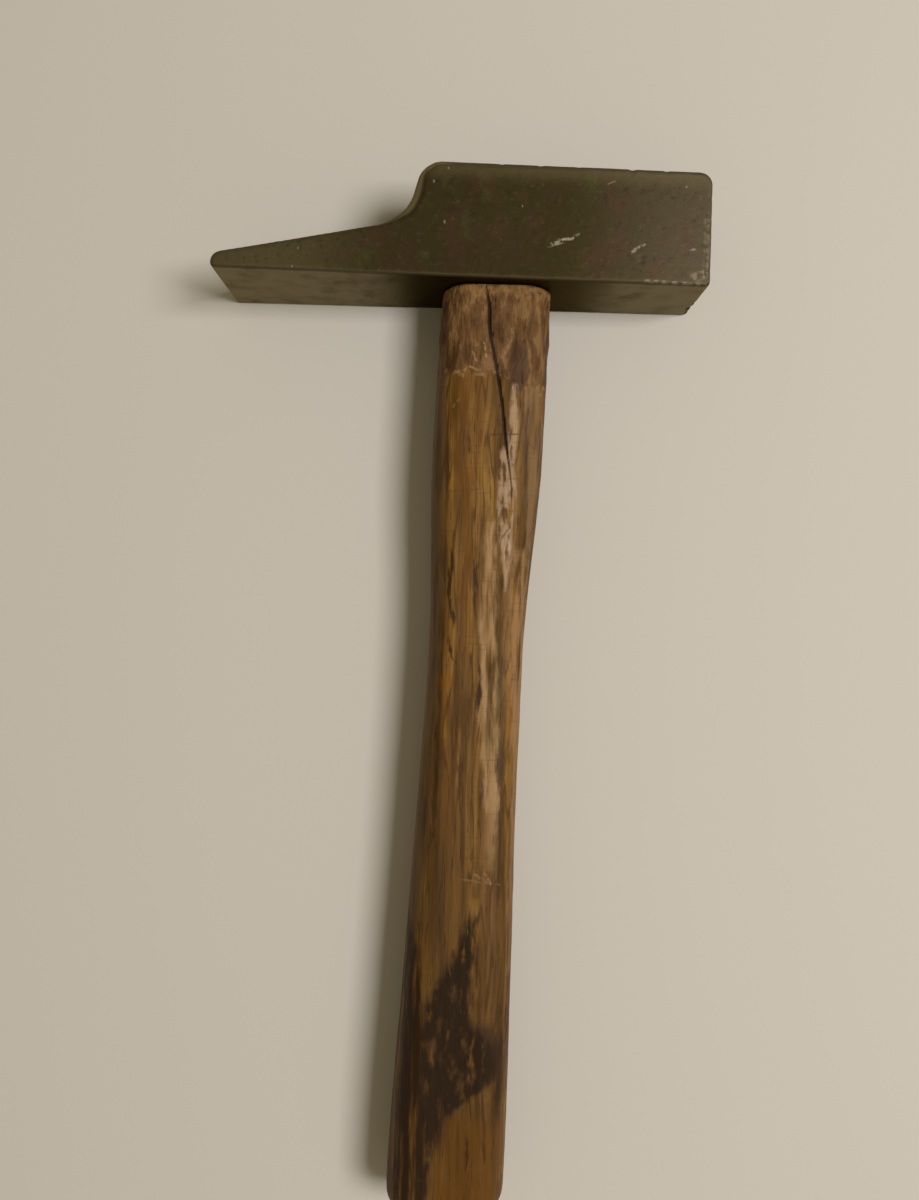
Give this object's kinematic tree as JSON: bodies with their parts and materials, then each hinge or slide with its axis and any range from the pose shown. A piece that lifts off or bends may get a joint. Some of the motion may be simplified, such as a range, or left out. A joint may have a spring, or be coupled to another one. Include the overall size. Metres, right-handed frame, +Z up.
{
  "type": "cross peen joiner's hammer",
  "caption": "Old joiner's hammer: a forged square poll and a long one-sided cross peen on a waisted wooden handle wedged through the eye.",
  "frame": {"origin": "on the lower cheek of the head, straight under the axis of the eye", "axes": "+X along the head towards the striking face, +Y along the handle towards the head, +Z up, across the head, with the hammer lying on one cheek"},
  "size_m": [0.1405, 0.3049, 0.0344],
  "materials": {
    "forged_steel": "forged carbon steel with a dark olive-brown patina, fine pitting, a few bright scratches and worn arrises",
    "handle_wood": "aged hardwood with coarse grain along the handle, oiled and worn by the hand, with a split, grime near the head and dark stains near the butt",
    "wedge_wood": "sawn hardwood end grain, greyed with age",
    "wedge_steel": "cut mild steel, hammered over and lightly rusted"
  },
  "bodies": {
    "root": {"head": "forged_steel", "handle": "handle_wood", "wooden_wedge": "wedge_wood", "steel_wedge_poll_side": "wedge_steel", "steel_wedge_peen_side": "wedge_steel"}
  },
  "joints": []
}
